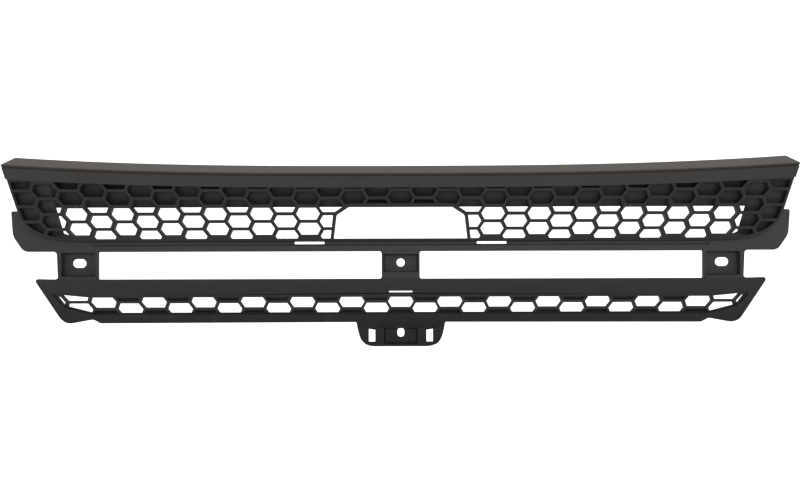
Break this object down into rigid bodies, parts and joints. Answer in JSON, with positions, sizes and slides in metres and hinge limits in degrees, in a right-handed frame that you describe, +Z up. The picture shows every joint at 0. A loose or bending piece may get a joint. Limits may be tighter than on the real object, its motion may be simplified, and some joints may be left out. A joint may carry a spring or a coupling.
{
  "type": "front grille",
  "caption": "Wide front bumper grille: bowed top bar over a raked honeycomb with a sensor window, wide air openings between posts, a slim lower honeycomb and a hanging bracket.",
  "frame": {"origin": "centre of the round locating hole in the middle post, half way through its wall", "axes": "+X to the right seen from the front, +Y to the back of the car, +Z up; the grille's face looks along -Y"},
  "size_m": [0.974, 0.1282, 0.239],
  "materials": {
    "trim": "satin grained dark grey plastic",
    "mesh": "moulded black plastic with a fine grain",
    "backing": "flat moulded black plastic with a fine grain",
    "frame": "moulded black plastic with a fine grain",
    "screw": "bright zinc"
  },
  "bodies": {
    "root": {"top_bar": "trim", "upper_mesh_left": "mesh", "upper_mesh_middle": "mesh", "upper_mesh_right": "mesh", "window_sill": "mesh", "blanking_strip": "backing", "blanking_panel_left": "backing", "blanking_panel_right": "backing", "end_screws": "screw", "upper_rail": "frame", "upper_clip_left": "mesh", "upper_clip_right": "mesh", "end_flap_left": "frame", "end_flap_right": "frame", "side_post_left": "frame", "side_post_right": "frame", "middle_post": "frame", "lower_rail": "frame", "lower_end_left": "frame", "lower_end_right": "frame", "lower_lip": "frame", "lower_mesh": "mesh", "lower_clip": "mesh", "bracket": "frame"}
  },
  "joints": []
}
